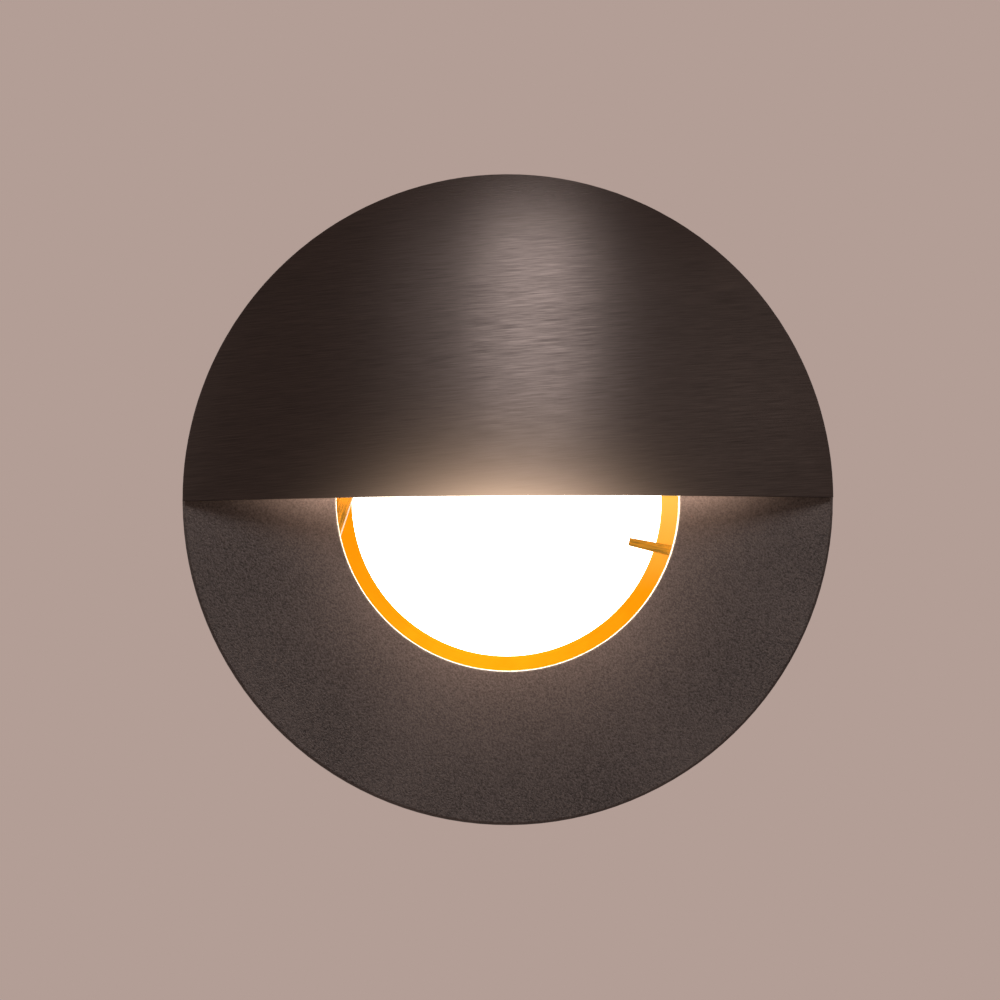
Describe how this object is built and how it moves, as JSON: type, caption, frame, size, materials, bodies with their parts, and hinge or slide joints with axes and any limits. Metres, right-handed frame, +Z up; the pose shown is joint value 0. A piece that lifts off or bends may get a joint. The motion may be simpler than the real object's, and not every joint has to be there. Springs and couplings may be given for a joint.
{
  "type": "recessed step light",
  "caption": "Round recessed wall or step light: flat disc face with a half-dome hood over a round lens, cast housing behind, held in the wall by sprung clips.",
  "frame": {"origin": "on the lamp's axis, in the plane of the finished wall, which is the rear face of the foam gasket", "axes": "+Z up and +X right as one looks at the lamp's face; +Y along the lamp's axis into the wall"},
  "size_m": [0.085, 0.0707, 0.085],
  "materials": {
    "plate_bronze": "fine sand texture, dark bronze powder coat",
    "hood_bronze": "horizontal brushed, dark bronze anodised",
    "foam": "matt closed-cell foam",
    "die_cast": "as cast, fine grain",
    "spring_steel": "bright drawn wire",
    "straw_steel": "flat strip, tempered to a straw colour",
    "zinc_steel": "zinc plated",
    "black_steel": "black oxide",
    "gold_ring": "satin, lit from the lens",
    "opal_lens": "frosted, back lit",
    "silicone": "soft translucent",
    "white_plastic": "moulded, white",
    "led_white": "solder-resist white on aluminium core",
    "led_phosphor": "cast phosphor",
    "grey_pad": "filled silicone sheet",
    "black_rubber": "matt",
    "red_insulation": "extruded",
    "black_insulation": "extruded",
    "green_board": "solder resist over glass fibre",
    "ferrite": "sintered, yellow taped winding",
    "capacitor_sleeve": "shrink sleeve",
    "black_epoxy": "moulded epoxy",
    "green_plastic": "moulded",
    "brass": "turned and tinned",
    "black_nylon": "moulded nylon"
  },
  "bodies": {
    "fixture": {"bezel_set_screws": "black_steel", "black_lead": "black_insulation", "board_screws": "zinc_steel", "cover_screws": "zinc_steel", "cover_seal": "black_rubber", "driver_board": "green_board", "driver_capacitor": "capacitor_sleeve", "driver_chips": "black_epoxy", "driver_screws": "zinc_steel", "driver_transformer": "ferrite", "earth_screw": "brass", "earth_tag": "brass", "face_plate": "plate_bronze", "gland_body": "black_nylon", "gland_nut": "black_nylon", "gland_seal": "black_rubber", "hood": "hood_bronze", "hood_screws": "black_steel", "housing": "die_cast", "lead_grommet": "black_rubber", "led_board": "led_white", "led_chips": "led_phosphor", "left_clip_bracket": "zinc_steel", "left_clip_pin": "zinc_steel", "left_clip_screws": "zinc_steel", "left_clip_spring": "spring_steel", "lens": "opal_lens", "lens_ring": "gold_ring", "lens_seal": "silicone", "rear_cover": "die_cast", "red_lead": "red_insulation", "reflector_cup": "white_plastic", "right_clip_bracket": "zinc_steel", "right_clip_pin": "zinc_steel", "right_clip_screws": "zinc_steel", "right_clip_spring": "spring_steel", "snap_ring": "straw_steel", "terminal_block": "green_plastic", "terminal_screws": "zinc_steel", "thermal_pad": "grey_pad", "wall_gasket": "foam"},
    "left_blade": {"left_clip_blade": "zinc_steel"},
    "right_blade": {"right_clip_blade": "zinc_steel"}
  },
  "joints": [
    {"name": "left_clip_fold", "type": "hinge", "parent": "fixture", "child": "left_blade", "pos_m": [-0.0298, 0.018, 0], "axis": [0, 0, -1], "range_deg": [0, 130], "stiffness_Nm_per_rad": 0.03, "springref_deg": -68.75, "deforming": ["left_clip_spring"]},
    {"name": "right_clip_fold", "type": "hinge", "parent": "fixture", "child": "right_blade", "pos_m": [0.0298, 0.018, 0], "axis": [0, 0, 1], "range_deg": [0, 130], "stiffness_Nm_per_rad": 0.03, "springref_deg": -68.75, "deforming": ["right_clip_spring"]}
  ]
}
